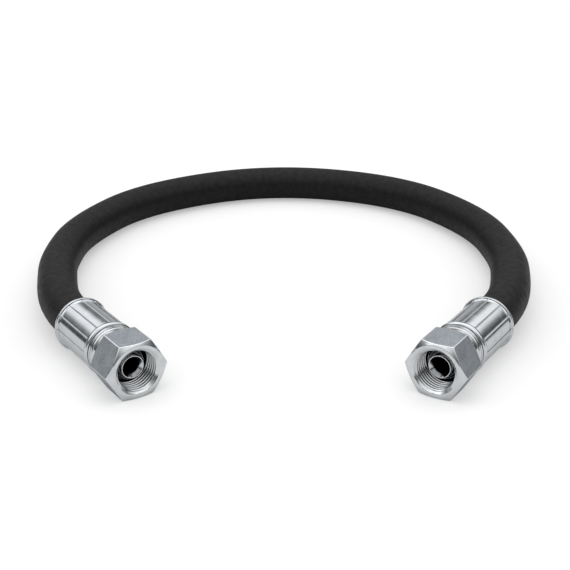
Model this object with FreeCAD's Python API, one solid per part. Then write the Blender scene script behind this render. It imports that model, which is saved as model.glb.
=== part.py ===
"""Hydraulic hose assembly: one reinforced hose laid in a loop, with a crimped swivel nut fitting on each end.

Millimetres, +Z up. The origin is on the floor, midway between the two fittings. +X runs from fitting a to
fitting b, and +Y runs from the nuts towards the back of the hose loop.

Each fitting is turned about its own axis: s is the distance behind the front face of its nut, r the radius.
"""
import FreeCAD
import Part

import math
import os

# Hose: bore of 12.7 (half an inch), one wire braid, rubber cover
HOSE_BORE_R = 6.35
INNER_TUBE_WALL = 1.65
BRAID_WALL = 0.95
COVER_WALL = 1.65

# Swivel nut: hexagon for a 27 spanner, with slightly crowned chamfers. The pipe thread G 1/2 is left as its
# minor bore, which opens by a relief, inside the thread's tolerance, where the nose stands in it.
SPANNER_SIZE = 27.0
HEX_LENGTH = 18.6
HEX_FACE_R = 12.7
HEX_CHAMFER_DEG = 30.0
HEX_CHAMFER_CROWN = 0.03
THREAD_MINOR_R = 9.3155
THREAD_MAJOR_R = 10.4775
THREAD_INNER_RELIEF = 0.18
THREAD_END = 10.8
MOUTH_RELIEF = 0.7
MOUTH_DEPTH = 1.2
UNDERCUT_RELIEF = 0.27
SKIRT_LENGTH = 3.6
SKIRT_R = 12.6
SKIRT_ROUND = 0.6
LIP_LENGTH = 3.4
LIP_CONE = 0.5

# Insert: cone nose, shoulder that the nut pulls on, collar, lock groove and hose tail
BORE_R = 4.0
NOSE_RECESS = 5.4
NOSE_R = 5.5
NOSE_HALF_ANGLE_DEG = 30.0
NOSE_BASE_R = 8.8
COUNTERSINK_R = 5.15
COUNTERSINK_DEPTH = 2.2
SHOULDER_LENGTH = 3.2
NECK_R = 9.2
COLLAR_LENGTH = 3.6
COLLAR_R = 12.35
COLLAR_ROUND = 0.6
SPIGOT_R = 11.0
SPIGOT_LENGTH = 0.6
LOCK_GROOVE_R = 8.3
LOCK_SHOULDER_LENGTH = 1.6
LOCK_SHOULDER_R = 9.4
TAIL_ROOT_R = 5.8
TAIL_RIBS = 6
TAIL_LENGTH = 27.0

# Ferrule: shell crimped by twelve dies, turned in at the front and flared at the back
FERRULE_LENGTH = 34.0
FRONT_LIP_LENGTH = 2.6
FRONT_RIM_LENGTH = 2.4
FRONT_RIM_R = 13.2
FRONT_EDGE_R = 12.4
BODY_R = 12.8
SEAM_R = 13.0
SEAM_WIDTH = 0.7
DIE_COUNT = 12
SEAM_TURN_A_DEG = 5.0
SEAM_TURN_B_DEG = -1.0
FLARE_LENGTH = 2.0
REAR_RIM_R = 13.75
REAR_RIM_ROUND = 0.7
REAR_MOUTH_R = 11.5
REAR_MOUTH_LENGTH = 1.8
TOOTH_DEPTH = 0.35
TOOTH_COUNT = 5

# Clearances between pieces that move, and between pieces that are not pressed together
NUT_RUNNING_GAP = 0.05
NUT_END_FLOAT = 0.06
SHOULDER_GAP = 0.35
SKIRT_GAP = 0.6
HOSE_END_GAP = 0.8
NOSE_MARGIN = 0.3

# Lay of the two fittings on the floor: distance between the nuts' faces, and how far each is turned outwards
FITTING_SPREAD = 132.3
YAW_A_DEG = 34.3
YAW_B_DEG = 32.3

# How far a cutting shape runs past the face that it cuts, or a joined shape into its neighbour
OVERRUN = 1.0

# Hose route between the ferrules, in the frame of the part. Its first and last runs leave along the fittings.
FIRST_RUN = 11.8
LAST_RUN = 13.2
ROUTE = [
    (-112.6, 46.3, 13.8),
    (-117.6, 60.3, 13.4),
    (-121.8, 79.5, 12.7),
    (-127.6, 111.9, 11.4),
    (-124.8, 164.3, 10.6),
    (-92.1, 227.5, 10.6),
    (-11.2, 268.4, 10.6),
    (75.8, 244.0, 10.6),
    (119.7, 180.7, 10.6),
    (127.4, 118.8, 11.2),
    (121.3, 79.6, 12.7),
    (115.2, 55.5, 13.6),
]
ARC_SHARE = 0.45

# Radii and stations that follow from the sizes above
TUBE_R = HOSE_BORE_R + INNER_TUBE_WALL
BRAID_R = TUBE_R + BRAID_WALL
HOSE_R = BRAID_R + COVER_WALL
HEX_CORNER_R = SPANNER_SIZE / math.sqrt(3.0)
CHAMFER_SLOPE = math.tan(math.radians(HEX_CHAMFER_DEG))
CORNER_SETBACK = (HEX_CORNER_R - HEX_FACE_R) * CHAMFER_SLOPE
MOUTH_R = THREAD_MAJOR_R + MOUTH_RELIEF
UNDERCUT_R = THREAD_MAJOR_R + UNDERCUT_RELIEF
FREE_THREAD_END = NOSE_RECESS - NOSE_MARGIN
SHOULDER_R = UNDERCUT_R - SHOULDER_GAP
NUT_END = HEX_LENGTH + SKIRT_LENGTH
SHOULDER_END = NUT_END - LIP_LENGTH - NUT_END_FLOAT
SHOULDER_START = SHOULDER_END - SHOULDER_LENGTH
NOSE_LENGTH = (NOSE_BASE_R - NOSE_R) / math.tan(math.radians(NOSE_HALF_ANGLE_DEG))
COLLAR_START = NUT_END + SKIRT_GAP
COLLAR_END = COLLAR_START + COLLAR_LENGTH
FERRULE_START = COLLAR_END + SPIGOT_LENGTH
LIP_END = FERRULE_START + FRONT_LIP_LENGTH
LOCK_SHOULDER_END = LIP_END + LOCK_SHOULDER_LENGTH
HOSE_START = LOCK_SHOULDER_END + HOSE_END_GAP
FERRULE_END = FERRULE_START + FERRULE_LENGTH
TAIL_END = HOSE_START + TAIL_LENGTH - HOSE_END_GAP
FLARE_START = FERRULE_END - FLARE_LENGTH
RIM_CREST = FERRULE_END - REAR_RIM_ROUND

# The rear rim is wider than the nut, so a fitting that lies on the floor rises a little towards its hose
FLAT_START = (SPANNER_SIZE / 2.0 - HEX_FACE_R) * CHAMFER_SLOPE
RISE = math.atan2(REAR_RIM_R - SPANNER_SIZE / 2.0, RIM_CREST - FLAT_START)
FACE_Z = SPANNER_SIZE / 2.0 * math.cos(RISE) - FLAT_START * math.sin(RISE)


def front_reach(yaw):
    """Distance from the middle of a nut's face to the front of its fitting's box."""
    return HEX_CORNER_R * math.sin(yaw) - CORNER_SETBACK * math.cos(yaw)


def rear_reach(yaw):
    """Distance from the middle of a nut's face to the back of its fitting's box, at the rear rim."""
    return RIM_CREST * math.cos(yaw) + REAR_RIM_R * math.sin(yaw) + REAR_RIM_ROUND * (1.0 - math.sin(yaw))


def side_reach(yaw):
    """Distance from the middle of a nut's face to the outer side of its fitting's box, at the rear rim."""
    return RIM_CREST * math.sin(yaw) + REAR_RIM_R * math.cos(yaw) + REAR_RIM_ROUND * (1.0 - math.cos(yaw))


# Side -1 is fitting a at -X and side 1 is fitting b at +X. Their common box stands round the origin.
YAW = {-1: math.radians(YAW_A_DEG), 1: math.radians(YAW_B_DEG)}
MIDDLE_X = (side_reach(YAW[-1]) - side_reach(YAW[1])) / 2.0
FACE_Y = (max(map(front_reach, YAW.values())) - max(map(rear_reach, YAW.values()))) / 2.0

X_AXIS = FreeCAD.Vector(1, 0, 0)
ORIGIN = FreeCAD.Vector(0, 0, 0)


def section(points):
    """Closed wire through (s, r) points; an entry of two points is an arc through the first to the second."""
    edges = []
    start = FreeCAD.Vector(points[0][0], points[0][1], 0)
    last = start
    for entry in points[1:]:
        if isinstance(entry[0], tuple):
            middle = FreeCAD.Vector(entry[0][0], entry[0][1], 0)
            end = FreeCAD.Vector(entry[1][0], entry[1][1], 0)
            edges.append(Part.Arc(last, middle, end).toShape())
        else:
            end = FreeCAD.Vector(entry[0], entry[1], 0)
            edges.append(Part.LineSegment(last, end).toShape())
        last = end
    edges.append(Part.LineSegment(last, start).toShape())
    return Part.Wire(edges)


def turned(points):
    """Solid of revolution about the fitting's axis."""
    return Part.Face(section(points)).revolve(ORIGIN, X_AXIS, 360)


def corner_round(s, r, size, side):
    """Entry for a quarter round on an outer corner: side 1 ends a piece, side -1 starts it."""
    bulge = size * (1.0 - math.sqrt(0.5))
    if side > 0:
        return [(s - size, r), ((s - bulge, r - bulge), (s, r - size))]
    return [(s, r - size), ((s + bulge, r - bulge), (s + size, r))]


def hexagon_bar(start, length):
    """Six-sided bar along the fitting's axis, with flats above and below."""
    corners = []
    for k in range(7):
        angle = math.radians(60 * k)
        corners.append(FreeCAD.Vector(start, HEX_CORNER_R * math.cos(angle), HEX_CORNER_R * math.sin(angle)))
    return Part.Face(Part.makePolygon(corners)).extrude(X_AXIS * length)


def swivel_nut():
    """Hexagon nut with its bore and undercut in front, swaged behind over the insert's shoulder."""
    hexagon = hexagon_bar(0.0, HEX_LENGTH)
    crown_s = CORNER_SETBACK / 2.0 - HEX_CHAMFER_CROWN * math.cos(math.radians(HEX_CHAMFER_DEG))
    crown_r = (HEX_FACE_R + HEX_CORNER_R) / 2.0 + HEX_CHAMFER_CROWN * math.sin(math.radians(HEX_CHAMFER_DEG))
    blank = turned([
        (0.0, 0.0),
        (0.0, HEX_FACE_R),
        ((crown_s, crown_r), (CORNER_SETBACK, HEX_CORNER_R)),
        (HEX_LENGTH - CORNER_SETBACK, HEX_CORNER_R),
        ((HEX_LENGTH - crown_s, crown_r), (HEX_LENGTH, HEX_FACE_R)),
        (HEX_LENGTH, 0.0),
    ])
    skirt = turned([
        (HEX_LENGTH - OVERRUN, 0.0),
        (HEX_LENGTH - OVERRUN, SKIRT_R),
        *corner_round(NUT_END, SKIRT_R, SKIRT_ROUND, 1),
        (NUT_END, 0.0),
    ])
    lip_r = NECK_R + NUT_RUNNING_GAP
    lip_start = NUT_END - LIP_LENGTH
    bore = turned([
        (-OVERRUN, 0.0),
        (-OVERRUN, MOUTH_R),
        (0.0, MOUTH_R),
        (MOUTH_DEPTH, THREAD_MINOR_R),
        (FREE_THREAD_END, THREAD_MINOR_R),
        (FREE_THREAD_END + THREAD_INNER_RELIEF, THREAD_MINOR_R + THREAD_INNER_RELIEF),
        (THREAD_END, THREAD_MINOR_R + THREAD_INNER_RELIEF),
        (THREAD_END + LIP_CONE, UNDERCUT_R),
        (lip_start, UNDERCUT_R),
        (lip_start, lip_r),
        (NUT_END - LIP_CONE, lip_r),
        (NUT_END, lip_r + LIP_CONE),
        (NUT_END + OVERRUN, lip_r + LIP_CONE),
        (NUT_END + OVERRUN, 0.0),
    ])
    return hexagon.common(blank).fuse(skirt).removeSplitter().cut(bore)


def hose_tail():
    """Saw-toothed ribs of the insert's tail, as outline points from front to back."""
    pitch = (TAIL_END - HOSE_START) / TAIL_RIBS
    land = pitch * 0.3
    points = []
    for k in range(TAIL_RIBS):
        front = HOSE_START + k * pitch
        points += [(front, HOSE_BORE_R), (front + land, HOSE_BORE_R), (front + pitch, TAIL_ROOT_R)]
    return points


def insert():
    """Hollow stem: cone nose and shoulder inside the nut, collar and lock groove, ribbed tail in the hose."""
    return turned([
        (NOSE_RECESS + COUNTERSINK_DEPTH, BORE_R),
        (NOSE_RECESS, COUNTERSINK_R),
        (NOSE_RECESS, NOSE_R),
        (NOSE_RECESS + NOSE_LENGTH, NOSE_BASE_R),
        (SHOULDER_START, NOSE_BASE_R),
        (SHOULDER_START, SHOULDER_R),
        (SHOULDER_END, SHOULDER_R),
        (SHOULDER_END, NECK_R),
        (COLLAR_START, NECK_R),
        *corner_round(COLLAR_START, COLLAR_R, COLLAR_ROUND, -1),
        *corner_round(COLLAR_END, COLLAR_R, COLLAR_ROUND, 1),
        (COLLAR_END, SPIGOT_R),
        (FERRULE_START, SPIGOT_R),
        (FERRULE_START, LOCK_GROOVE_R),
        (LIP_END, LOCK_GROOVE_R),
        (LIP_END, LOCK_SHOULDER_R),
        (LOCK_SHOULDER_END, LOCK_SHOULDER_R),
        (LOCK_SHOULDER_END, HOSE_BORE_R),
        *hose_tail()[1:],
        (TAIL_END, BORE_R),
    ])


def ferrule_outline(body_r):
    """Outer outline of the ferrule from its front rim to its rear rim, with the given body radius."""
    front_crest = FERRULE_START + FRONT_RIM_LENGTH / 2.0
    front_rim_end = FERRULE_START + FRONT_RIM_LENGTH
    rim_start = (RIM_CREST - 0.5 * REAR_RIM_ROUND, REAR_RIM_R - 0.13 * REAR_RIM_ROUND)
    flare_middle = (FLARE_START + 0.6 * (rim_start[0] - FLARE_START), body_r + 0.3 * (rim_start[1] - body_r))
    return [
        (FERRULE_START, FRONT_EDGE_R),
        ((front_crest, FRONT_RIM_R), (front_rim_end, body_r)),
        (FLARE_START, body_r),
        (flare_middle, rim_start),
        ((RIM_CREST, REAR_RIM_R), (FERRULE_END, REAR_RIM_R - REAR_RIM_ROUND)),
    ]


def ferrule(seam_turn):
    """Crimped shell with a seam ridge between each two dies, and teeth that bite the hose cover."""
    inner = [
        (FERRULE_END, REAR_MOUTH_R),
        (FERRULE_END - REAR_MOUTH_LENGTH, HOSE_R),
    ]
    pitch = (FERRULE_END - REAR_MOUTH_LENGTH - HOSE_START) / (TOOTH_COUNT + 1)
    for k in range(TOOTH_COUNT, 0, -1):
        middle = HOSE_START + k * pitch
        inner += [
            (middle + pitch * 0.3, HOSE_R),
            (middle + pitch * 0.2, HOSE_R + TOOTH_DEPTH),
            (middle - pitch * 0.2, HOSE_R + TOOTH_DEPTH),
            (middle - pitch * 0.3, HOSE_R),
        ]
    inner += [
        (LIP_END, HOSE_R),
        (LIP_END, LOCK_GROOVE_R),
        (FERRULE_START, LOCK_GROOVE_R),
    ]
    shell = turned(ferrule_outline(BODY_R) + inner)
    tall = turned(ferrule_outline(SEAM_R) + inner)
    ridges = []
    for k in range(DIE_COUNT):
        ridge = Part.makeBox(FERRULE_END, REAR_RIM_R, SEAM_WIDTH, FreeCAD.Vector(0, 0, -SEAM_WIDTH / 2.0))
        ridge.rotate(ORIGIN, X_AXIS, 360.0 * k / DIE_COUNT + seam_turn)
        ridges.append(tall.common(ridge))
    return shell.fuse(ridges).removeSplitter()


def face_middle(side):
    """Middle of the front face of a fitting's nut."""
    return FreeCAD.Vector(MIDDLE_X + side * FITTING_SPREAD / 2.0, FACE_Y, FACE_Z)


def placed(shape, side):
    """Fitting piece moved to its place."""
    heading = 90.0 - side * math.degrees(YAW[side])
    turn = FreeCAD.Rotation(FreeCAD.Vector(0, 0, 1), heading)
    lift = FreeCAD.Rotation(FreeCAD.Vector(0, 1, 0), -math.degrees(RISE))
    result = shape.copy()
    result.Placement = FreeCAD.Placement(face_middle(side), turn.multiply(lift))
    return result


def axis_point(side, s):
    """Point on a fitting's axis at distance s behind the face of its nut."""
    level = math.cos(RISE)
    heading = FreeCAD.Vector(side * math.sin(YAW[side]) * level, math.cos(YAW[side]) * level, math.sin(RISE))
    return face_middle(side) + heading * s


def hose_points():
    """Route of the hose's centre line from ferrule mouth to ferrule mouth."""
    points = [axis_point(-1, FERRULE_END), axis_point(-1, FERRULE_END + FIRST_RUN)]
    points += [FreeCAD.Vector(*place) for place in ROUTE]
    points += [axis_point(1, FERRULE_END + LAST_RUN), axis_point(1, FERRULE_END)]
    return points


def hose_line():
    """Straight runs joined by tangent arcs from one hose end to the other, and the radii of the arcs."""
    points = hose_points()
    edges = []
    radii = []
    last = axis_point(-1, HOSE_START)
    for before, point, after in zip(points, points[1:], points[2:]):
        back = before - point
        ahead = after - point
        half_turn = (math.pi - back.getAngle(ahead)) / 2.0
        reach = ARC_SHARE * min(back.Length, ahead.Length)
        radius = reach / math.tan(half_turn)
        back.normalize()
        ahead.normalize()
        start = point + back * reach
        end = point + ahead * reach
        towards = (back + ahead).normalize()
        middle = point + towards * (radius / math.cos(half_turn) - radius)
        edges.append(Part.LineSegment(last, start).toShape())
        edges.append(Part.Arc(start, middle, end).toShape())
        radii.append(radius)
        last = end
    edges.append(Part.LineSegment(last, axis_point(1, HOSE_START)).toShape())
    return Part.Wire(edges), radii


def hose_layer(line, inner_r, outer_r):
    """One layer of the hose along its whole line."""
    start = axis_point(-1, HOSE_START)
    along = axis_point(-1, FERRULE_END) - start
    rods = []
    for radius in (outer_r, inner_r):
        ring = Part.Wire(Part.makeCircle(radius, start, along))
        rods.append(line.makePipeShell([ring], True, True))
    return rods[0].cut(rods[1])


def main():
    os.makedirs("parts", exist_ok=True)
    nodes = {}
    nut = swivel_nut()
    stem = insert()
    for letter, side, seam_turn in (("a", -1, SEAM_TURN_A_DEG), ("b", 1, SEAM_TURN_B_DEG)):
        nodes["swivel_nut_" + letter] = placed(nut, side)
        nodes["insert_" + letter] = placed(stem, side)
        nodes["ferrule_" + letter] = placed(ferrule(seam_turn), side)
    line, radii = hose_line()
    nodes["inner_tube"] = hose_layer(line, HOSE_BORE_R, TUBE_R)
    nodes["wire_braid"] = hose_layer(line, TUBE_R, BRAID_R)
    nodes["hose_cover"] = hose_layer(line, BRAID_R, HOSE_R)
    print("bend radii of the hose:", [round(radius) for radius in radii])
    print("hose length %.1f" % line.Length)
    expected = math.pi * (HOSE_R ** 2 - BRAID_R ** 2) * line.Length
    print("cover volume %.0f, section times length %.0f" % (nodes["hose_cover"].Volume, expected))
    for name, shape in nodes.items():
        box = shape.BoundBox
        print("%-14s valid %s solids %d volume %.1f box %.3f %.3f %.3f to %.3f %.3f %.3f" % (
            name, shape.isValid(), len(shape.Solids), shape.Volume,
            box.XMin, box.YMin, box.ZMin, box.XMax, box.YMax, box.ZMax))
        shape.exportStep("parts/%s.step" % name)


main()
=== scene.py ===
"""Looks of a hydraulic hose assembly: a looped rubber hose with a crimped swivel nut fitting on each end.

Metres, +Z up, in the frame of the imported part. A fitting's own coordinates are s, the distance behind the
front face of its nut, and y and z across its axis, in millimetres until they are placed.
"""

import logging
import math
from dataclasses import dataclass, field
from enum import Enum

import bmesh
import bpy
import numpy as np
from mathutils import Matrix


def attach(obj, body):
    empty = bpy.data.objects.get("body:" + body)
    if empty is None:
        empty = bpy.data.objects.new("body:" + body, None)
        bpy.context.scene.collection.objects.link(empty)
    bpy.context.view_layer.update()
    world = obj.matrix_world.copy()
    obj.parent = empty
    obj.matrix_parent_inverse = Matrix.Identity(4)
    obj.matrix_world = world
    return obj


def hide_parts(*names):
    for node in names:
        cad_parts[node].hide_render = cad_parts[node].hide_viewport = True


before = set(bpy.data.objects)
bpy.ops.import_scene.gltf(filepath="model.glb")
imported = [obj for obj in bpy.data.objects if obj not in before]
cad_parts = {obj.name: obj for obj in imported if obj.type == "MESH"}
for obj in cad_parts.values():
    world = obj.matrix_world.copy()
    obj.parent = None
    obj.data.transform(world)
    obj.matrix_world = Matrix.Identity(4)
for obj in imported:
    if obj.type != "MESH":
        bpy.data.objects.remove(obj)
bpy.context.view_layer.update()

log = logging.getLogger("hose_assembly")

MM = 0.001
PHOTO_PIXELS = 570
FULL_TURN = 2.0 * math.pi
HEX_SECTOR = math.radians(60.0)
HALF_SECTOR = math.radians(30.0)
WHITE = (1.0, 1.0, 1.0, 1.0)

Point = tuple[float, float, float]
Color = tuple[float, float, float]
Span = tuple[float, float]
Ramp = tuple[float, float, float, float]
Corner = tuple[float | np.ndarray, float | np.ndarray, float]


class Side(Enum):
    """The two ends of the hose; the value is the sign of X."""

    A = -1
    B = 1

    @property
    def letter(self) -> str:
        """Letter in the names of this end's nodes and bodies."""
        return self.name.lower()

    @property
    def yaw(self) -> float:
        """How far the fitting is turned outwards, in radians."""
        return math.radians(34.3 if self is Side.A else 32.3)

    @property
    def seam_turn(self) -> float:
        """Angle of the ferrule's first crimp seam, in radians."""
        return math.radians(5.0 if self is Side.A else -1.0)


# Mesh helpers

# A round takes up to ROUND_SHARE of the run to the next corner, and its support point lies SUPPORT_REACH
# rounds out, up to SUPPORT_SHARE of the run.
ROUND_SHARE = 0.45
SUPPORT_REACH = 1.5
SUPPORT_SHARE = 0.49

WELD_DISTANCE = 2e-6
SLIVER_LENGTH = 1e-6
SHARP_EDGE = math.radians(50.0)


def rounded(corners: np.ndarray, rounds: list[float], steps: int = 4) -> np.ndarray:
    """Rounds the corners of closed profiles, all columns at once.

    Each corner B with neighbours A and C becomes the curve (1-t)^2 P + 2t(1-t) B + t^2 Q, where P and Q lie
    on the two runs at the round's size from B, with a support point outside each, so flat runs shade flat.

    Args:
        corners: array of corner places, corner by column by coordinate.
        rounds: size of each corner's round; 0 keeps the corner sharp.
        steps: spans along a round.

    Returns:
        Array of rows by column by coordinate.
    """
    rows = []
    for k, size in enumerate(rounds):
        corner = corners[k]
        if size <= 0.0:
            rows.append(corner)
            continue
        ends = []
        supports = []
        for neighbour in (corners[k - 1], corners[(k + 1) % len(corners)]):
            run = neighbour - corner
            length = np.linalg.norm(run, axis=-1, keepdims=True)
            cut = np.minimum(size, ROUND_SHARE * length)
            ends.append(corner + run / length * cut)
            supports.append(corner + run / length * np.minimum(SUPPORT_REACH * cut, SUPPORT_SHARE * length))
        rows.append(supports[0])
        for t in np.linspace(0.0, 1.0, steps + 1):
            rows.append((1 - t) ** 2 * ends[0] + 2 * t * (1 - t) * corner + t ** 2 * ends[1])
        rows.append(supports[1])
    return np.stack(rows)


def ring(s: float | np.ndarray, r: float | np.ndarray, columns: int) -> np.ndarray:
    """One corner (s, r) of a profile, in every column."""
    return np.stack([np.broadcast_to(s, columns), np.broadcast_to(r, columns)], axis=-1)


def turned_profile(corners: list[Corner], columns: int) -> np.ndarray:
    """Rounded closed profile of a turned piece, in every column.

    Args:
        corners: (s, r, round) of each corner; s and r may differ from column to column.
        columns: number of columns round the axis.

    Returns:
        Array of rows by columns by (s, r).
    """
    places = np.stack([ring(s, r, columns) for s, r, _ in corners])
    return rounded(places, [size for _, _, size in corners])


def closed_mesh(name: str, grid: np.ndarray, uv: np.ndarray,
                values: dict[str, np.ndarray]) -> bpy.types.Object:
    """Mesh object of a grid of points whose last row joins the first and whose last column meets the first.

    Args:
        name: name of the object.
        grid: points in metres, rows by columns by 3.
        uv: texture place of each grid point, rows by columns by 2.
        values: named numbers per grid point, kept as vertex attributes.

    Returns:
        The new object, with closed seams and outward normals.
    """
    rows, columns = grid.shape[:2]
    index = np.arange(rows * columns).reshape(rows, columns)
    below = np.roll(index, -1, axis=0)
    faces = np.stack([index[:, :-1], index[:, 1:], below[:, 1:], below[:, :-1]], axis=-1).reshape(-1, 4)
    mesh = bpy.data.meshes.new(name)
    mesh.from_pydata(grid.reshape(-1, 3).tolist(), [], faces.tolist())
    layer = mesh.uv_layers.new(name="surface")
    layer.data.foreach_set("uv", uv.reshape(-1, 2)[faces.ravel()].astype(np.float32).ravel())
    for label, amount in values.items():
        attribute = mesh.attributes.new(label, "FLOAT", "POINT")
        attribute.data.foreach_set("value", amount.astype(np.float32).ravel())
    shape = bmesh.new()
    shape.from_mesh(mesh)
    bmesh.ops.remove_doubles(shape, verts=shape.verts, dist=WELD_DISTANCE)
    bmesh.ops.dissolve_degenerate(shape, edges=shape.edges, dist=SLIVER_LENGTH)
    bmesh.ops.recalc_face_normals(shape, faces=shape.faces)
    if shape.calc_volume(signed=True) < 0.0:
        bmesh.ops.reverse_faces(shape, faces=shape.faces)
    shape.to_mesh(mesh)
    shape.free()
    mesh.shade_smooth()
    mesh.set_sharp_from_angle(angle=SHARP_EDGE)
    piece = bpy.data.objects.new(name, mesh)
    bpy.context.scene.collection.objects.link(piece)
    return piece


def dress(piece: bpy.types.Object, finish: bpy.types.Material, body: str, node: str) -> None:
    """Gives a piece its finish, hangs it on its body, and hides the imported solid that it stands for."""
    piece.data.materials.append(finish)
    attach(piece, body)
    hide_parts(node)


# Shader helpers

# Sockets of a Mix node by its kind: share, first, second and result.
MIX_SOCKETS = {"FLOAT": (0, 2, 3, 0), "RGBA": (0, 6, 7, 2)}

MARKS_ROUND_PER_METRE = 40.0
MARKS_DETAIL = 3.0
MOTTLE_DETAIL = 4.0
MOTTLE_ROUGHNESS = 0.6


class Nodes:
    """Short hand for the nodes of one material or group."""

    def __init__(self, tree: bpy.types.NodeTree) -> None:
        """Starts on an empty tree."""
        self.tree = tree

    def add(self, kind: str, links: dict[str | int, object] | None = None,
            **settings: object) -> bpy.types.Node:
        """Adds a node.

        Args:
            kind: Blender's name of the node type.
            links: input name or number to a socket that feeds it, or to a plain value.
            settings: attributes of the node.

        Returns:
            The new node.
        """
        node = self.tree.nodes.new(kind)
        for key, value in settings.items():
            setattr(node, key, value)
        for key, value in (links or {}).items():
            if isinstance(value, bpy.types.NodeSocket):
                self.tree.links.new(value, node.inputs[key])
            else:
                node.inputs[key].default_value = value
        return node

    def math(self, operation: str, first: object, second: object = 0.0) -> bpy.types.NodeSocket:
        """Result of a Math node on two sockets or numbers."""
        return self.add("ShaderNodeMath", {0: first, 1: second}, operation=operation).outputs[0]

    def ramp(self, source: bpy.types.NodeSocket, low: float, high: float,
             to_low: float, to_high: float) -> bpy.types.NodeSocket:
        """Source mapped from low..high to to_low..to_high, held at the ends."""
        values = {"Value": source, "From Min": low, "From Max": high, "To Min": to_low, "To Max": to_high}
        return self.add("ShaderNodeMapRange", values, clamp=True).outputs["Result"]

    def mix(self, kind: str, share: object, first: object, second: object) -> bpy.types.NodeSocket:
        """Number or colour mixed from first to second by share; the kind is FLOAT or RGBA."""
        factor, start, end, result = MIX_SOCKETS[kind]
        node = self.add("ShaderNodeMix", {factor: share, start: first, end: second}, data_type=kind)
        return node.outputs[result]

    def attribute(self, label: str) -> bpy.types.NodeSocket:
        """Number stored on the mesh under a name."""
        return self.add("ShaderNodeAttribute", attribute_name=label).outputs["Fac"]

    def group(self, kind: "EffectGroup", links: dict[str | int, object]) -> bpy.types.Node:
        """Places a shared effect group with its own values."""
        return self.add("ShaderNodeGroup", links, node_tree=kind.tree())


class EffectGroup(Enum):
    """Effects that more than one material uses, each built once."""

    TURNED_MARKS = "turned marks"
    PLATING_MOTTLE = "plating mottle"

    def tree(self) -> bpy.types.NodeTree:
        """The group's node tree, built at its first use."""
        found = bpy.data.node_groups.get(self.value)
        if found:
            return found
        tree = bpy.data.node_groups.new(self.value, "ShaderNodeTree")
        if self is EffectGroup.TURNED_MARKS:
            self._turned_marks(tree)
        else:
            self._plating_mottle(tree)
        return tree

    def _turned_marks(self, tree: bpy.types.NodeTree) -> None:
        """Fine rings that a lathe leaves: noise squeezed along the profile, stretched round the piece."""
        tree.interface.new_socket("Spacing", in_out="INPUT", socket_type="NodeSocketFloat")
        tree.interface.new_socket("Height", in_out="OUTPUT", socket_type="NodeSocketFloat")
        nodes = Nodes(tree)
        inlet = tree.nodes.new("NodeGroupInput")
        outlet = tree.nodes.new("NodeGroupOutput")
        place = nodes.add("ShaderNodeUVMap", uv_map="surface").outputs[0]
        parts = nodes.add("ShaderNodeSeparateXYZ", {0: place})
        rate = nodes.math("DIVIDE", 1.0, inlet.outputs["Spacing"])
        along = nodes.math("MULTIPLY", parts.outputs["Y"], rate)
        around = nodes.math("MULTIPLY", parts.outputs["X"], MARKS_ROUND_PER_METRE)
        spread = nodes.add("ShaderNodeCombineXYZ", {0: around, 1: along})
        links = {"Vector": spread.outputs[0], "Scale": 1.0, "Detail": MARKS_DETAIL}
        marks = nodes.add("ShaderNodeTexNoise", links)
        tree.links.new(marks.outputs[0], outlet.inputs["Height"])

    def _plating_mottle(self, tree: bpy.types.NodeTree) -> None:
        """Cloudy and grainy unevenness of a zinc plate, in object space."""
        tree.interface.new_socket("Cloud Size", in_out="INPUT", socket_type="NodeSocketFloat")
        tree.interface.new_socket("Grain Size", in_out="INPUT", socket_type="NodeSocketFloat")
        tree.interface.new_socket("Cloud", in_out="OUTPUT", socket_type="NodeSocketFloat")
        tree.interface.new_socket("Grain", in_out="OUTPUT", socket_type="NodeSocketFloat")
        nodes = Nodes(tree)
        inlet = tree.nodes.new("NodeGroupInput")
        outlet = tree.nodes.new("NodeGroupOutput")
        place = nodes.add("ShaderNodeTexCoord").outputs["Object"]
        for label in ("Cloud", "Grain"):
            scale = nodes.math("DIVIDE", 1.0, inlet.outputs[label + " Size"])
            links = {"Vector": place, "Scale": scale, "Detail": MOTTLE_DETAIL, "Roughness": MOTTLE_ROUGHNESS}
            noise = nodes.add("ShaderNodeTexNoise", links)
            tree.links.new(noise.outputs[0], outlet.inputs[label])


def new_material(name: str) -> tuple[bpy.types.Material, Nodes, bpy.types.Node]:
    """Material with a Principled BSDF.

    Args:
        name: name of the material.

    Returns:
        The material, its nodes and its Principled BSDF.
    """
    material = bpy.data.materials.new(name)
    material.use_nodes = True
    nodes = Nodes(material.node_tree)
    return material, nodes, material.node_tree.nodes["Principled BSDF"]


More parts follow.
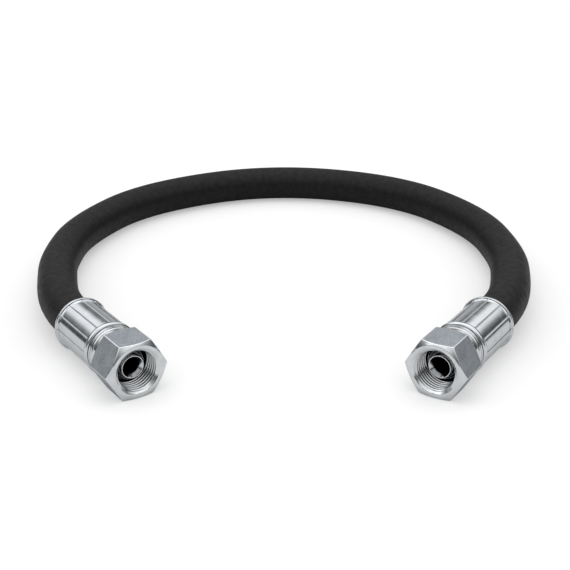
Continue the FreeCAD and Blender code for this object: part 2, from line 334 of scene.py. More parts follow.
@dataclass(frozen=True)
class ZincPlate:
    """Zinc-plated steel: satin grained faces, with brighter turned or worn places where "bright" is 1.

    The value "dark" is painted shade: it takes light out of grooves, bores and gaps. Sizes are in
    metres. A span of the noise is the stretch of its values over which a look goes from end to end.
    """

    name: str
    satin_color: Color
    bright_color: Color
    satin_roughness: float
    bright_roughness: float
    grain_depth: float
    marks_depth: float
    speckle: float = 0.0
    cloud_size: float = 0.006
    grain_size: float = 0.0007
    marks_spacing: float = 0.00022
    cloud_span: Span = (0.3, 0.7)
    cloud_light: Span = (0.88, 1.06)
    cloud_roughness: Span = (-0.05, 0.06)
    speck_span: Span = (0.35, 0.65)
    grain_where_bright: float = 0.12

    def light(self, nodes: Nodes, mottle: bpy.types.Node,
              bright: bpy.types.NodeSocket) -> bpy.types.NodeSocket:
        """Share of the colour that stays: clouds on the whole, times specks on satin, times 1 - dark."""
        cloud = nodes.ramp(mottle.outputs["Cloud"], *self.cloud_span, *self.cloud_light)
        speck = nodes.ramp(mottle.outputs["Grain"], *self.speck_span, 1.0 - self.speckle, 1.0 + self.speckle)
        uneven = nodes.math("MULTIPLY", cloud, nodes.mix("FLOAT", bright, speck, 1.0))
        # Painted shade: 1 - dark takes light out of grooves, bores and gaps.
        return nodes.math("MULTIPLY", uneven, nodes.math("SUBTRACT", 1.0, nodes.attribute("dark")))

    def build(self) -> bpy.types.Material:
        """Builds the material from the plating and turning effects."""
        material, nodes, surface = new_material(self.name)
        link = material.node_tree.links.new
        sizes = {"Cloud Size": self.cloud_size, "Grain Size": self.grain_size}
        mottle = nodes.group(EffectGroup.PLATING_MOTTLE, sizes)
        marks = nodes.group(EffectGroup.TURNED_MARKS, {"Spacing": self.marks_spacing})
        bright = nodes.attribute("bright")
        color = nodes.mix("RGBA", bright, (*self.satin_color, 1.0), (*self.bright_color, 1.0))
        light = self.light(nodes, mottle, bright)
        tone = nodes.add("ShaderNodeVectorMath", {0: color, 1: light}, operation="MULTIPLY")
        link(tone.outputs[0], surface.inputs["Base Color"])
        surface.inputs["Metallic"].default_value = 1.0
        rough = nodes.ramp(bright, 0.0, 1.0, self.satin_roughness, self.bright_roughness)
        uneven = nodes.ramp(mottle.outputs["Cloud"], *self.cloud_span, *self.cloud_roughness)
        link(nodes.math("ADD", rough, uneven), surface.inputs["Roughness"])
        share = nodes.ramp(bright, 0.0, 1.0, 1.0, self.grain_where_bright)
        grain = nodes.math("MULTIPLY", share, mottle.outputs["Grain"])
        rings = nodes.math("MULTIPLY", bright, marks.outputs["Height"])
        height = nodes.math("ADD", nodes.math("MULTIPLY", grain, self.grain_depth),
                            nodes.math("MULTIPLY", rings, self.marks_depth))
        bump = nodes.add("ShaderNodeBump", {"Height": height, "Strength": 1.0, "Distance": 1.0})
        link(bump.outputs[0], surface.inputs["Normal"])
        return material


@dataclass(frozen=True)
class WrappedRubber:
    """Black hose rubber with the fine mark of the cloth that it was cured in; scales are per metre."""

    name: str
    color: Color
    roughness: float
    cloth_depth: float
    thread_slant_deg: float = 35.0
    thread_scale: float = 210.0
    thread_distortion: float = 2.5
    thread_detail: float = 2.0
    thread_detail_scale: float = 1.5
    patch_scale: float = 260.0
    patch_detail: float = 5.0
    patch_noise_roughness: float = 0.65
    patch_light: Ramp = (0.35, 0.7, 0.6, 1.9)
    gloss_span: Span = (0.3, 0.7)
    gloss_swing: float = 0.08
    specular_level: float = 0.22

    def build(self) -> bpy.types.Material:
        """Builds the material: crossed threads on the hose's own UV map, with worn, paler places."""
        material, nodes, surface = new_material(self.name)
        link = material.node_tree.links.new
        place = nodes.add("ShaderNodeUVMap", uv_map="surface").outputs[0]
        threads = []
        for slant in (self.thread_slant_deg, -self.thread_slant_deg):
            links = {"Vector": place, "Rotation": (0.0, 0.0, math.radians(slant))}
            turn = nodes.add("ShaderNodeMapping", links)
            links = {"Vector": turn.outputs[0], "Scale": self.thread_scale, "Detail": self.thread_detail,
                     "Distortion": self.thread_distortion, "Detail Scale": self.thread_detail_scale}
            threads.append(nodes.add("ShaderNodeTexWave", links).outputs["Fac"])
        cloth = nodes.math("MAXIMUM", threads[0], threads[1])
        links = {"Vector": place, "Scale": self.patch_scale, "Detail": self.patch_detail,
                 "Roughness": self.patch_noise_roughness}
        patches = nodes.add("ShaderNodeTexNoise", links).outputs[0]
        light = nodes.ramp(patches, *self.patch_light)
        tone = nodes.add("ShaderNodeVectorMath", {0: self.color, 1: light}, operation="MULTIPLY")
        link(tone.outputs[0], surface.inputs["Base Color"])
        rough = nodes.ramp(patches, *self.gloss_span, self.roughness + self.gloss_swing,
                           self.roughness - self.gloss_swing)
        link(rough, surface.inputs["Roughness"])
        surface.inputs["Specular IOR Level"].default_value = self.specular_level
        height = nodes.math("MULTIPLY", nodes.math("ADD", cloth, patches), self.cloth_depth)
        bump = nodes.add("ShaderNodeBump", {"Height": height, "Strength": 1.0, "Distance": 1.0})
        link(bump.outputs[0], surface.inputs["Normal"])
        return material


# Fitting


@dataclass
class FittingPlace:
    """Where one fitting lies, in millimetres: its axis rises a little from the nut's face to the hose."""

    side: Side
    spread: float = 132.3
    middle_x: float = 0.7545
    rise_deg: float = 0.23938
    face_y: float = -25.6179
    face_z: float = 13.498
    texture_r: float = 13.0

    def axes(self) -> np.ndarray:
        """Unit vectors of s, y and z in the frame of the part, as rows."""
        heading = math.pi / 2.0 - self.side.value * self.side.yaw
        rise = math.radians(self.rise_deg)
        level = math.cos(rise)
        along = np.array([math.cos(heading) * level, math.sin(heading) * level, math.sin(rise)])
        across = np.array([-math.sin(heading), math.cos(heading), 0.0])
        return np.stack([along, across, np.cross(along, across)])

    def to_part(self, points: np.ndarray) -> np.ndarray:
        """Carries (s, y, z) points in millimetres to metres in the frame of the part."""
        face = np.array([self.middle_x + self.side.value * self.spread / 2.0, self.face_y, self.face_z])
        return (points @ self.axes() + face) * MM

    def turned(self, profile: np.ndarray, angles: np.ndarray) -> tuple[np.ndarray, np.ndarray]:
        """Carries a profile round the axis: a point (s, r) in column a goes to (s, r cos a, r sin a).

        Args:
            profile: rows by columns by (s, r), in millimetres.
            angles: angle of each column, over one full turn.

        Returns:
            The points in metres, and their (around, along) texture places.
        """
        s, r = profile[..., 0], profile[..., 1]
        points = np.stack([s, r * np.cos(angles), r * np.sin(angles)], axis=-1)
        run = np.linalg.norm(np.diff(profile, axis=0), axis=-1)
        travel = np.concatenate([np.zeros((1, profile.shape[1])), np.cumsum(run, axis=0)])
        uv = np.stack([np.broadcast_to(angles * self.texture_r, s.shape), travel], axis=-1) * MM
        return self.to_part(points), uv


@dataclass
class SwivelNut:
    """Hexagon nut with its thread, undercut and swaged skirt, in millimetres."""

    place: FittingPlace
    spanner_size: float = 27.0
    length: float = 18.6
    face_r: float = 12.7
    chamfer_deg: float = 30.0
    corner_round: float = 0.55
    mouth_r: float = 11.18
    mouth_depth: float = 1.2
    minor_r: float = 9.3155
    major_r: float = 10.4775
    pitch: float = 1.814
    flank_deg: float = 27.5
    tip_power: int = 8
    thread_end: float = 10.8
    undercut_r: float = 10.75
    skirt_length: float = 3.6
    skirt_r: float = 12.6
    skirt_round: float = 0.6
    lip_length: float = 3.4
    lip_r: float = 9.25
    lip_cone: float = 0.5
    face_round: float = 0.15
    chamfer_round: float = 0.22
    foot_round: float = 0.12
    lip_round: float = 0.1
    # Painted shade in the nut's mouth: where it starts, how fast it deepens, and its depth at crest, root and
    # undercut.
    dark_start: float = 0.9
    dark_run: float = 1.5
    crest_painted_shade: float = 0.1
    root_painted_shade: float = 0.96
    undercut_painted_shade: float = 0.93
    flat_tolerance: float = 0.001
    worn_edge_deg: float = 0.6
    thread_rows: int = 14
    flat_columns: int = 9
    corner_columns: int = 6
    flat_share: float = 0.96

    def columns(self) -> np.ndarray:
        """Angles round the nut, dense at the six rounded corners."""
        tangent = self.tangent_angle()
        flat = np.linspace(0.0, tangent * self.flat_share, self.flat_columns)
        corner = np.linspace(tangent, HALF_SECTOR, self.corner_columns)
        half = np.concatenate([flat, corner])
        sector = np.concatenate([-half[:0:-1], half[:-1]])
        angles = np.concatenate([sector + HALF_SECTOR + HEX_SECTOR * k for k in range(6)])
        return np.append(angles, angles[0] + FULL_TURN)

    def tangent_angle(self) -> float:
        """Angle from the middle of a flat to the start of its rounded corner."""
        half = self.spanner_size / 2.0
        return math.atan((half - self.corner_round) * math.tan(HALF_SECTOR) / half)

    def hexagon(self, angles: np.ndarray) -> np.ndarray:
        """Radius of the hexagon: half its size over the cosine on a flat, a circle on a rounded corner."""
        off = np.mod(angles, HEX_SECTOR) - HALF_SECTOR
        flat = self.spanner_size / 2.0 / np.cos(off)
        centre = (self.spanner_size / 2.0 - self.corner_round) / math.cos(HALF_SECTOR)
        from_corner = HALF_SECTOR - np.abs(off)
        inside = np.maximum(self.corner_round ** 2 - (centre * np.sin(from_corner)) ** 2, 0.0)
        corner = centre * np.cos(from_corner) + np.sqrt(inside)
        return np.where(np.abs(off) > self.tangent_angle(), corner, flat)

    def setback(self, hexagon: np.ndarray) -> np.ndarray:
        """How far the chamfer runs back from the face: (radius of the hexagon - face) times its slope."""
        return (hexagon - self.face_r) * math.tan(math.radians(self.chamfer_deg))

    def thread(self, angles: np.ndarray) -> np.ndarray:
        """Thread rows from the undercut to the mouth, each on the helix s = pitch a / 2 pi + a constant.

        The radius is a triangle wave along s with its tips rounded by x / (1 + |x|^p)^(1/p), where p is the
        tip power, and the mouth's countersink cuts it: the larger of the two radii counts.
        """
        step = self.pitch / self.thread_rows
        count = math.ceil((self.thread_end + self.pitch) / step) + 1
        turn = (angles - angles[0]) / FULL_TURN
        s = self.thread_end + self.pitch * turn[None, :] - step * np.arange(count)[:, None]
        s = np.clip(s, 0.0, self.thread_end)
        phase = np.mod(s / self.pitch - turn[None, :], 1.0)
        depth = self.major_r - self.minor_r
        slope = 1.0 / math.tan(math.radians(self.flank_deg))
        wave = (0.25 - np.abs(phase - 0.5)) * self.pitch * slope / (depth / 2.0)
        wave = wave / (1.0 + np.abs(wave) ** self.tip_power) ** (1.0 / self.tip_power)
        radius = (self.major_r + self.minor_r) / 2.0 + depth / 2.0 * wave
        cone = self.mouth_r - s * (self.mouth_r - self.minor_r) / self.mouth_depth
        return np.stack([s, np.maximum(radius, cone)], axis=-1)

    def build(self, finish: bpy.types.Material) -> bpy.types.Object:
        """Builds the nut and lets it ride on its own body.

        Args:
            finish: material of the nut.

        Returns:
            The nut's object.
        """
        angles = self.columns()
        hexagon = self.hexagon(angles)
        setback = self.setback(hexagon)
        end = self.length + self.skirt_length
        thread = self.thread(angles)
        corners = [
            (*thread[-1].T, 0.0),
            (0.0, self.face_r, self.face_round),
            (setback, hexagon, self.chamfer_round),
            (self.length - setback, hexagon, self.chamfer_round),
            (self.length, self.skirt_r, self.foot_round),
            (end, self.skirt_r, self.skirt_round),
            (end, self.lip_r + self.lip_cone, self.lip_round),
            (end - self.lip_cone, self.lip_r, self.lip_round),
            (end - self.lip_length, self.lip_r, 0.0),
            (end - self.lip_length, self.undercut_r, 0.0),
            (self.thread_end + self.lip_cone, self.undercut_r, 0.0),
            (*thread[0].T, 0.0),
        ]
        shell = turned_profile(corners, len(angles))[1:-1]
        profile = np.concatenate([shell, thread])
        grid, uv = self.place.turned(profile, angles)
        values = {"bright": self.bright(profile, hexagon, angles), "dark": self.dark(profile)}
        letter = self.place.side.letter
        piece = closed_mesh("nut_" + letter, grid, uv, values)
        dress(piece, finish, "nut_" + letter, "swivel_nut_" + letter)
        return piece

    def dark(self, profile: np.ndarray) -> np.ndarray:
        """Painted shade in the undercut and in the thread's grooves, more towards their roots and inwards."""
        s, r = profile[..., 0], profile[..., 1]
        groove = np.clip((r - self.minor_r) / (self.major_r - self.minor_r), 0.0, 1.0)
        deep = np.clip((s - self.dark_start) / self.dark_run, 0.0, 1.0)
        inside = (r < self.mouth_r) & (s < self.length + self.skirt_length - self.lip_round)
        thread = self.crest_painted_shade + (self.root_painted_shade - self.crest_painted_shade) * groove
        return np.where(inside, deep * np.where(s > self.thread_end, self.undercut_painted_shade, thread), 0.0)

    def bright(self, profile: np.ndarray, hexagon: np.ndarray, angles: np.ndarray) -> np.ndarray:
        """Marks turned and worn places: 1 off the six flats and on their rounded corners, 0 on the flats."""
        s, r = profile[..., 0], profile[..., 1]
        setback = self.setback(hexagon)
        on_hexagon = np.abs(r - hexagon) < self.flat_tolerance
        on_flat = on_hexagon & (s > setback) & (s < self.length - setback)
        off = np.abs(np.mod(angles, HEX_SECTOR) - HALF_SECTOR)
        corner = np.clip((off - self.tangent_angle()) / math.radians(self.worn_edge_deg), 0.0, 1.0)
        return np.where(on_flat, np.broadcast_to(corner, s.shape), 1.0)


@dataclass
class Insert:
    """Hollow stem with its cone nose, shoulder, collar and hose tail, in millimetres."""

    place: FittingPlace
    bore_r: float = 4.0
    nose_start: float = 5.4
    nose_r: float = 5.5
    countersink_r: float = 5.15
    countersink_end: float = 7.6
    cone_end: float = 11.12
    cone_r: float = 8.8
    shoulder_start: float = 15.54
    shoulder_end: float = 18.74
    shoulder_r: float = 10.4
    neck_r: float = 9.2
    collar_start: float = 22.8
    collar_end: float = 26.4
    collar_r: float = 12.35
    collar_round: float = 0.5
    groove_middle: float = 24.5
    groove_half: float = 0.1
    groove_flank: float = 0.1
    groove_depth: float = 0.2
    groove_edge_round: float = 0.12
    spigot_end: float = 27.0
    spigot_r: float = 11.0
    lock_end: float = 29.6
    lock_r: float = 8.3
    stop_end: float = 31.2
    stop_r: float = 9.4
    tail_end: float = 58.2
    tail_r: float = 6.35
    throat_round: float = 0.15
    tip_inner_round: float = 0.06
    tip_round: float = 0.08
    cone_foot_round: float = 0.25
    shoulder_front_round: float = 0.15
    shoulder_back_round: float = 0.1
    stop_round: float = 0.1
    tail_round: float = 0.3
    tail_bore_round: float = 0.1
    # Painted shade in the bore, on the cone inside the nut, and in the collar's groove.
    bore_limit_r: float = 5.0
    bore_painted_shade: float = 0.96
    bore_dark_start: float = 7.2
    bore_dark_run: float = 1.2
    cone_painted_shade: float = 0.85
    cone_dark_start: float = 6.2
    cone_dark_run: float = 2.0
    groove_painted_shade: float = 0.75
    groove_dark_half: float = 0.16
    columns: int = 129

    def corners(self) -> list[Corner]:
        """Corners (s, r, round) of the stem: the nose, outside to the tail, and back through the bore."""
        top = self.groove_half + self.groove_flank
        bottom_r = self.collar_r - self.groove_depth
        return [
            (self.countersink_end, self.bore_r, self.throat_round),
            (self.nose_start, self.countersink_r, self.tip_inner_round),
            (self.nose_start, self.nose_r, self.tip_round),
            (self.cone_end, self.cone_r, self.cone_foot_round),
            (self.shoulder_start, self.cone_r, 0.0),
            (self.shoulder_start, self.shoulder_r, self.shoulder_front_round),
            (self.shoulder_end, self.shoulder_r, self.shoulder_back_round),
            (self.shoulder_end, self.neck_r, 0.0),
            (self.collar_start, self.neck_r, 0.0),
            (self.collar_start, self.collar_r, self.collar_round),
            (self.groove_middle - top, self.collar_r, self.groove_edge_round),
            (self.groove_middle - self.groove_half, bottom_r, 0.0),
            (self.groove_middle + self.groove_half, bottom_r, 0.0),
            (self.groove_middle + top, self.collar_r, self.groove_edge_round),
            (self.collar_end, self.collar_r, self.collar_round),
            (self.collar_end, self.spigot_r, 0.0),
            (self.spigot_end, self.spigot_r, 0.0),
            (self.spigot_end, self.lock_r, 0.0),
            (self.lock_end, self.lock_r, 0.0),
            (self.lock_end, self.stop_r, 0.0),
            (self.stop_end, self.stop_r, self.stop_round),
            (self.stop_end, self.tail_r, 0.0),
            (self.tail_end, self.tail_r, self.tail_round),
            (self.tail_end, self.bore_r, self.tail_bore_round),
        ]

    def dark(self, profile: np.ndarray) -> np.ndarray:
        """Painted shade in the bore behind the countersink, on the cone behind its tip, and in the collar's
        groove.
        """
        s, r = profile[..., 0], profile[..., 1]
        bore = np.clip((s - self.bore_dark_start) / self.bore_dark_run, 0.0, 1.0)
        bore *= r < self.bore_limit_r
        cone = np.clip((s - self.cone_dark_start) / self.cone_dark_run, 0.0, 1.0)
        cone *= (r >= self.bore_limit_r) & (s < self.collar_start)
        groove = np.abs(s - self.groove_middle) < self.groove_dark_half
        return np.maximum.reduce([bore * self.bore_painted_shade, cone * self.cone_painted_shade, groove * self.groove_painted_shade])

    def build(self, finish: bpy.types.Material) -> bpy.types.Object:
        """Builds the stem and lets it ride with the hose.

        Args:
            finish: material of the stem.

        Returns:
            The stem's object.
        """
        profile = turned_profile(self.corners(), self.columns)
        grid, uv = self.place.turned(profile, np.linspace(0.0, FULL_TURN, self.columns))
        values = {"bright": np.ones(profile.shape[:2]), "dark": self.dark(profile)}
        letter = self.place.side.letter
        piece = closed_mesh("stem_" + letter, grid, uv, values)
        dress(piece, finish, "hose_assembly", "insert_" + letter)
        return piece


@dataclass
class Ferrule:
    """Crimped shell: twelve slightly crowned die faces with a raised seam between each two.

    Sizes are in millimetres. The places of a seam's ridge and groove, and their widths, are shares of the
    seam's own half width.
    """

    place: FittingPlace
    start: float = 27.0
    end: float = 61.0
    front_edge_r: float = 12.4
    front_rim_r: float = 13.2
    front_rim_rise: float = 0.5
    front_rim_crest: float = 1.4
    front_rim_length: float = 2.4
    neck_r: float = 12.75
    neck_length: float = 0.35
    body_setback: float = 0.6
    body_r: float = 12.8
    flare_length: float = 2.0
    rear_rim_r: float = 13.75
    rear_rim_length: float = 1.45
    rear_rim_foot: float = 0.25
    rear_rim_round: float = 0.7
    mouth_r: float = 11.6
    mouth_depth: float = 2.0
    hose_r: float = 10.62
    lock_end: float = 29.6
    lock_r: float = 8.3
    front_edge_round: float = 0.2
    rim_front_round: float = 0.35
    rim_back_round: float = 0.4
    neck_round: float = 0.15
    neck_foot_round: float = 0.1
    body_edge_round: float = 0.15
    flare_round: float = 0.5
    rim_foot_round: float = 0.2
    rim_edge_round: float = 0.25
    mouth_round: float = 0.6
    throat_round: float = 0.5
    front_bore_round: float = 0.2
    die_count: int = 12
    die_face_crown: float = 0.08
    seam_half_deg: float = 1.9
    ridge_height: float = 0.2
    ridge_place: float = 0.25
    ridge_half: float = 0.5
    groove_depth: float = 0.1
    groove_place: float = -0.6
    groove_half: float = 0.4
    # Painted shade in the grooves beside the seams and on the neck behind the front rim.
    outside_r: float = 12.0
    seam_painted_shade: float = 0.9
    seam_margin: float = 0.5
    neck_painted_shade: float = 0.6
    neck_dark_middle: float = 0.2
    neck_dark_half: float = 0.25
    seam_columns: int = 9
    face_columns: int = 14
    face_inset: float = 1.4

    def columns(self) -> np.ndarray:
        """Angles round the ferrule, dense at the seams."""
        sector = FULL_TURN / self.die_count
        seam = math.radians(self.seam_half_deg)
        near = np.linspace(-seam, seam, self.seam_columns)
        face = np.linspace(seam * self.face_inset, sector - seam * self.face_inset, self.face_columns)
        one = np.concatenate([near, face]) + self.place.side.seam_turn
        angles = np.concatenate([one + sector * k for k in range(self.die_count)])
        return np.append(angles, angles[0] + FULL_TURN)

    def crimped(self, angles: np.ndarray) -> tuple[np.ndarray, np.ndarray]:
        """Radius of the crimped body: each die face is crowned, and each seam has a ridge and a groove.

        A die face sinks towards its seams by cos^2(pi off / sector), where off is the angle from the nearest
        seam. The ridge and the groove are triangles across the seam.

        Args:
            angles: angle of each column.

        Returns:
            The radius, and how far into the groove beside its seam each column lies, from 0 to 1.
        """
        sector = FULL_TURN / self.die_count
        off = np.mod(angles - self.place.side.seam_turn + sector / 2.0, sector) - sector / 2.0
        face = self.body_r - self.die_face_crown * np.cos(np.pi * off / sector) ** 2
        across = off / math.radians(self.seam_half_deg)
        ridge = np.clip(1.0 - np.abs(across - self.ridge_place) / self.ridge_half, 0.0, 1.0)
        groove = np.clip(1.0 - np.abs(across - self.groove_place) / self.groove_half, 0.0, 1.0)
        return face + self.ridge_height * ridge - self.groove_depth * groove, groove

    def corners(self, body: np.ndarray) -> list[Corner]:
        """Corners (s, r, round) of the shell: outside from front rim to rear rim, and back inside."""
        crest_end = self.front_rim_rise + self.front_rim_crest
        rim_end = self.start + self.front_rim_length
        rear = self.end - self.rear_rim_length
        return [
            (self.start, self.front_edge_r, self.front_edge_round),
            (self.start + self.front_rim_rise, self.front_rim_r, self.rim_front_round),
            (self.start + crest_end, self.front_rim_r, self.rim_back_round),
            (rim_end, self.neck_r, self.neck_round),
            (rim_end + self.neck_length, self.neck_r, self.neck_foot_round),
            (rim_end + self.body_setback, body, self.body_edge_round),
            (self.end - self.flare_length, body, self.flare_round),
            (rear - self.rear_rim_foot, body + self.rear_rim_foot, self.rim_foot_round),
            (rear, self.rear_rim_r, self.rim_edge_round),
            (self.end, self.rear_rim_r, self.rear_rim_round),
            (self.end, self.mouth_r, self.mouth_round),
            (self.end - self.mouth_depth, self.hose_r, self.throat_round),
            (self.lock_end, self.hose_r, 0.0),
            (self.lock_end, self.lock_r, 0.0),
            (self.start, self.lock_r, self.front_bore_round),
        ]

    def dark(self, profile: np.ndarray, groove: np.ndarray) -> np.ndarray:
        """Painted shade in the grooves beside the seams, from front rim to flare, and on the neck behind the
        rim.
        """
        s, r = profile[..., 0], profile[..., 1]
        rim_end = self.start + self.front_rim_length
        flare = self.end - self.flare_length
        outside = r > self.outside_r
        on_body = outside & (s > rim_end + self.seam_margin) & (s < flare + self.seam_margin)
        neck = outside & (np.abs(s - rim_end - self.neck_dark_middle) < self.neck_dark_half)
        return np.maximum(on_body * groove[None, :] * self.seam_painted_shade, neck * self.neck_painted_shade)

    def build(self, finish: bpy.types.Material) -> bpy.types.Object:
        """Builds the shell and lets it ride with the hose.

        Args:
            finish: material of the shell.

        Returns:
            The shell's object.
        """
        angles = self.columns()
        body, groove = self.crimped(angles)
        profile = turned_profile(self.corners(body), len(angles))
        grid, uv = self.place.turned(profile, angles)
        values = {"bright": np.ones(profile.shape[:2]), "dark": self.dark(profile, groove)}
        letter = self.place.side.letter
        piece = closed_mesh("crimp_shell_" + letter, grid, uv, values)
        dress(piece, finish, "hose_assembly", "ferrule_" + letter)
        return piece


@dataclass
class Fitting:
    """One end of the hose: ferrule, insert and nut."""

    side: Side
    place: FittingPlace = field(init=False)

    def __post_init__(self) -> None:
        """Places the fitting on its side."""
        self.place = FittingPlace(self.side)

    def build(self, plate: ZincPlate, turned: ZincPlate, pressed: ZincPlate) -> list[bpy.types.Object]:
        """Builds the three pieces, each in its own finish.

        Args:
            plate: finish of the nut.
            turned: finish of the insert.
            pressed: finish of the ferrule.

        Returns:
            The nut, the insert and the ferrule.
        """
        return [
            SwivelNut(self.place).build(plate.build()),
            Insert(self.place).build(turned.build()),
            Ferrule(self.place).build(pressed.build()),
        ]

    def axis_point(self, s: float) -> np.ndarray:
        """Point on the axis at distance s behind the nut's face, in metres."""
        return self.place.to_part(np.array([s, 0.0, 0.0]))


# Hose


@dataclass
class Hose:
    """The looped hose: cover, braid and inner tube along one line, in metres.

    Distances along a fitting's axis are in millimetres, as the fitting's own are: where the hose starts in
    the ferrule, how far inside the ferrule's mouth its line is held to the axis, and the runs past the mouth.
    """

    ends: tuple[Fitting, Fitting]
    bore_r: float = 0.00635
    tube_r: float = 0.0080
    braid_r: float = 0.00895
    cover_r: float = 0.0106
    start_in_ferrule: float = 32.0
    mouth_inset: float = 4.0
    ferrule_end: float = 61.0
    first_run: float = 11.8
    last_run: float = 13.2
    ring_step: float = 0.0015
    around: int = 65
    spline_order: int = 3
    spline_steps: int = 24
    route: tuple[Point, ...] = (
        (-0.1126, 0.0463, 0.0138),
        (-0.1176, 0.0603, 0.0134),
        (-0.1218, 0.0795, 0.0127),
        (-0.1276, 0.1119, 0.0114),
        (-0.1248, 0.1643, 0.0106),
        (-0.0921, 0.2275, 0.0106),
        (-0.0112, 0.2684, 0.0106),
        (0.0758, 0.2440, 0.0106),
        (0.1197, 0.1807, 0.0106),
        (0.1274, 0.1188, 0.0112),
        (0.1213, 0.0796, 0.0127),
        (0.1152, 0.0555, 0.0136),
    )

    def control_points(self) -> np.ndarray:
        """The route from hose end to hose end: along each fitting, and round the loop."""
        left, right = self.ends
        held = self.ferrule_end - self.mouth_inset
        first = (self.start_in_ferrule, held, self.ferrule_end + self.first_run)
        last = (self.ferrule_end + self.last_run, held, self.start_in_ferrule)
        loop = [np.array(place) for place in self.route]
        return np.array([left.axis_point(s) for s in first] + loop + [right.axis_point(s) for s in last])

    def line(self) -> np.ndarray:
        """Points on the route's smooth curve, read from its NURBS spline."""
        points = self.control_points()
        curve = bpy.data.curves.new("hose_line", "CURVE")
        curve.dimensions = "3D"
        curve.resolution_u = self.spline_steps
        spline = curve.splines.new("NURBS")
        spline.points.add(len(points) - 1)
        spline.points.foreach_set("co", np.column_stack([points, np.ones(len(points))]).ravel())
        spline.order_u = self.spline_order
        spline.use_endpoint_u = True
        holder = bpy.data.objects.new("hose_line", curve)
        bpy.context.scene.collection.objects.link(holder)
        depsgraph = bpy.context.evaluated_depsgraph_get()
        mesh = bpy.data.meshes.new_from_object(holder.evaluated_get(depsgraph))
        found = np.empty(len(mesh.vertices) * 3)
        mesh.vertices.foreach_get("co", found)
        bpy.data.objects.remove(holder)
        bpy.data.curves.remove(curve)
        bpy.data.meshes.remove(mesh)
        return found.reshape(-1, 3)

    def evenly(self, line: np.ndarray) -> tuple[np.ndarray, np.ndarray]:
        """Points and distances at even steps along a line, each a blend of the points before and after."""
        run = np.linalg.norm(np.diff(line, axis=0), axis=1)
        travel = np.concatenate([[0.0], np.cumsum(run)])
        count = int(travel[-1] / self.ring_step) + 1
        at = np.linspace(0.0, travel[-1], count)
        return np.stack([np.interp(at, travel, line[:, k]) for k in range(3)], axis=1), at

    def layer(self, name: str, line: np.ndarray, outer_r: float, inner_r: float) -> bpy.types.Object:
        """Closed tube wall: circles of the outer radius along the line and back inside at the inner radius.

        A ring's points are centre + r (cos a) side + r (sin a) up, with side square to the line and to Z.
        """
        centre, travel = self.evenly(line)
        tangent = np.gradient(centre, axis=0)
        tangent /= np.linalg.norm(tangent, axis=1, keepdims=True)
        side = np.cross(tangent, np.array([0.0, 0.0, 1.0]))
        side /= np.linalg.norm(side, axis=1, keepdims=True)
        up = np.cross(side, tangent)
        angles = np.linspace(0.0, FULL_TURN, self.around)
        turn = angles[None, :, None]
        spoke = np.cos(turn) * side[:, None, :] + np.sin(turn) * up[:, None, :]
        outside = centre[:, None, :] + outer_r * spoke
        inside = centre[::-1, None, :] + inner_r * spoke[::-1]
        grid = np.concatenate([outside, inside])
        along = np.concatenate([travel, travel[::-1]])
        uv = np.stack(np.broadcast_arrays(angles[None, :] * outer_r, along[:, None]), axis=-1)
        return closed_mesh(name, grid, uv, {})

    def build(self, rubber: WrappedRubber, wire: ZincPlate,
              lining: WrappedRubber) -> list[bpy.types.Object]:
        """Args:
            rubber: finish of the cover.
            wire: finish of the braid.
            lining: finish of the inner tube.

        Returns:
            The three objects, the cover first.
        """
        line = self.line()
        pieces = []
        for name, node, slot, outer, inner, finish in (
            ("cover", "hose_cover", "cover_rubber", self.cover_r, self.braid_r, rubber),
            ("braid", "wire_braid", "braid_wire", self.braid_r, self.tube_r, wire),
            ("lining", "inner_tube", "tube_rubber", self.tube_r, self.bore_r, lining),
        ):
            piece = self.layer(name, line, outer, inner)
            dress(piece, finish.build(), "hose_assembly", node)
            pieces.append(piece)
        exit_point = self.ends[0].axis_point(self.ferrule_end)
        return pieces


# Studio


@dataclass(frozen=True)
class Softbox:
    """Soft rectangular lamp: place and size in metres, power in watts."""

    name: str
    place: Point
    size: Span
    power: float

    def build(self, aim: Point) -> None:
        """Hangs the lamp so that it faces a point."""
        data = bpy.data.lights.new(self.name, "AREA")
        data.shape = "RECTANGLE"
        data.size, data.size_y = self.size
        data.energy = self.power
        lamp = bpy.data.objects.new(self.name, data)
        lamp.location = self.place
        toward = np.array(aim) - np.array(self.place)
        toward /= np.linalg.norm(toward)
        heading = math.atan2(toward[1], toward[0]) - math.pi / 2.0
        lamp.rotation_euler = (math.acos(-toward[2]), 0.0, heading)
        bpy.context.scene.collection.objects.link(lamp)


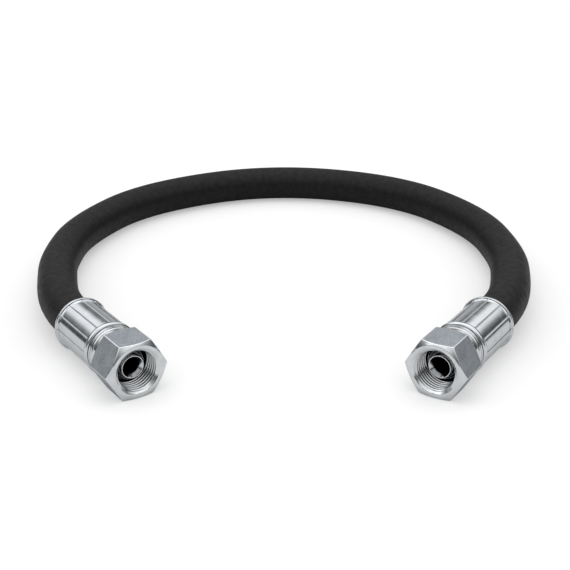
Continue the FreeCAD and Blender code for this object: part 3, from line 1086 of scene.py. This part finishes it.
@dataclass
class Studio:
    """Pale floor, soft lamps and the camera at the photograph's angle, in metres."""

    camera_place: Point = (0.00016, -0.46092, 0.2404)
    pitch_deg: float = 23.0
    focal_pixels: float = 1095.0
    sensor_mm: float = 36.0
    clip: Span = (0.01, 50.0)
    floor_reach: float = 30.0
    floor_color: Color = (0.62, 0.62, 0.62)
    floor_glow: float = 0.37
    sides_low: Ramp = (0.17, 0.34, 0.08, 0.3)
    sides_high: Ramp = (0.34, 0.5, 0.0, 0.74)
    behind_low: Ramp = (0.28, 0.36, 0.45, 0.2)
    behind_high: Ramp = (0.46, 0.62, 0.0, 0.85)
    behind_reach: Ramp = (0.86, 0.97, 0.0, 1.0)
    aim: Point = (0.0, 0.08, 0.0)
    lamps: tuple[Softbox, ...] = (
        Softbox("overhead softbox", place=(0.0, 0.15, 1.4), size=(1.2, 1.0), power=2.5),
        Softbox("left softbox", place=(-1.2, -0.2, 0.9), size=(0.8, 0.8), power=1.0),
    )

    def camera(self) -> None:
        """Places the camera: the lens follows from the focal length in pixels of the photograph's width."""
        data = bpy.data.cameras.new("camera")
        data.sensor_fit = "HORIZONTAL"
        data.sensor_width = self.sensor_mm
        data.lens = self.focal_pixels / PHOTO_PIXELS * data.sensor_width
        data.clip_start, data.clip_end = self.clip
        camera = bpy.data.objects.new("camera", data)
        camera.location = self.camera_place
        camera.rotation_euler = (math.radians(90.0 - self.pitch_deg), 0.0, 0.0)
        bpy.context.scene.collection.objects.link(camera)
        bpy.context.scene.camera = camera

    def floor(self) -> None:
        """Builds the floor: pale and diffuse, and made up to white for the camera, so that shadows stay."""
        mesh = bpy.data.meshes.new("floor")
        reach = self.floor_reach
        corners = [(-reach, -reach, 0.0), (reach, -reach, 0.0), (reach, reach, 0.0), (-reach, reach, 0.0)]
        mesh.from_pydata(corners, [], [(0, 1, 2, 3)])
        floor = bpy.data.objects.new("floor", mesh)
        bpy.context.scene.collection.objects.link(floor)
        material = bpy.data.materials.new("floor")
        material.use_nodes = True
        tree = material.node_tree
        tree.nodes.remove(tree.nodes["Principled BSDF"])
        nodes = Nodes(tree)
        diffuse = nodes.add("ShaderNodeBsdfDiffuse", {"Color": (*self.floor_color, 1.0)})
        rays = nodes.add("ShaderNodeLightPath")
        strength = nodes.math("MULTIPLY", rays.outputs["Is Camera Ray"], self.floor_glow)
        glow = nodes.add("ShaderNodeEmission", {"Color": WHITE, "Strength": strength})
        both = nodes.add("ShaderNodeAddShader", {0: diffuse.outputs[0], 1: glow.outputs[0]})
        tree.links.new(both.outputs[0], tree.nodes["Material Output"].inputs["Surface"])
        mesh.materials.append(material)

    def world(self) -> None:
        """Builds the surroundings: plain white for the camera and matt surfaces, softboxes for the metal.

        A ray's height is its Z. It sees a dark band low down at the sides, which brightens upwards, and a
        middling band behind the loop with a dark dip above it. Each is the sum of a low and a high ramp.
        """
        world = bpy.data.worlds.new("studio")
        world.use_nodes = True
        bpy.context.scene.world = world
        nodes = Nodes(world.node_tree)
        direction = nodes.add("ShaderNodeTexCoord").outputs["Generated"]
        up = nodes.add("ShaderNodeSeparateXYZ", {0: direction}).outputs["Z"]
        sides = nodes.math("ADD", nodes.ramp(up, *self.sides_low), nodes.ramp(up, *self.sides_high))
        behind = nodes.math("ADD", nodes.ramp(up, *self.behind_low), nodes.ramp(up, *self.behind_high))
        flat = nodes.add("ShaderNodeVectorMath", {0: direction, 1: (1.0, 1.0, 0.0)}, operation="MULTIPLY")
        compass = nodes.add("ShaderNodeVectorMath", {0: flat.outputs[0]}, operation="NORMALIZE")
        toward = nodes.add("ShaderNodeSeparateXYZ", {0: compass.outputs[0]}).outputs["Y"]
        softboxes = nodes.mix("FLOAT", nodes.ramp(toward, *self.behind_reach), sides, behind)
        rays = nodes.add("ShaderNodeLightPath")
        plain = nodes.math("MAXIMUM", rays.outputs["Is Camera Ray"], rays.outputs["Is Diffuse Ray"])
        shade = world.node_tree.nodes["Background"]
        world.node_tree.links.new(nodes.mix("FLOAT", plain, softboxes, 1.0), shade.inputs["Strength"])
        shade.inputs["Color"].default_value = WHITE

    def build(self) -> None:
        """Builds the whole studio."""
        self.camera()
        self.floor()
        self.world()
        for lamp in self.lamps:
            lamp.build(self.aim)
        bpy.context.scene.view_settings.view_transform = "Standard"


NUT_PLATE = ZincPlate(
    "nut zinc", satin_color=(0.47, 0.505, 0.545), bright_color=(0.84, 0.865, 0.885),
    satin_roughness=0.45, bright_roughness=0.17, grain_depth=0.00011, marks_depth=0.000004, speckle=0.2)
STEM_PLATE = ZincPlate(
    "stem zinc", satin_color=(0.7, 0.72, 0.74), bright_color=(0.78, 0.80, 0.82),
    satin_roughness=0.2, bright_roughness=0.14, grain_depth=0.00002, marks_depth=0.000004)
SHELL_PLATE = ZincPlate(
    "shell zinc", satin_color=(0.7, 0.72, 0.74), bright_color=(0.76, 0.79, 0.82),
    satin_roughness=0.18, bright_roughness=0.14, grain_depth=0.00002, marks_depth=0.000003)
BRAID_WIRE = ZincPlate(
    "brass coated wire", satin_color=(0.5, 0.42, 0.28), bright_color=(0.6, 0.5, 0.33),
    satin_roughness=0.4, bright_roughness=0.3, grain_depth=0.00005, marks_depth=0.0)
COVER_RUBBER = WrappedRubber(
    "cover rubber", color=(0.005, 0.005, 0.0052), roughness=0.5, cloth_depth=0.00004)
LINING_RUBBER = WrappedRubber(
    "lining rubber", color=(0.012, 0.012, 0.012), roughness=0.5, cloth_depth=0.00001)


def main() -> None:
    """Builds the studio, the two fittings and the hose."""
    logging.basicConfig(level=logging.INFO)
    Studio().build()
    ends = (Fitting(Side.A), Fitting(Side.B))
    pieces = []
    for fitting in ends:
        pieces += fitting.build(NUT_PLATE, STEM_PLATE, SHELL_PLATE)
    pieces += Hose(ends).build(COVER_RUBBER, BRAID_WIRE, LINING_RUBBER)
    for piece in pieces:
        log.info("%s: %d faces", piece.name, len(piece.data.polygons))


if __name__ == "__main__":
    main()
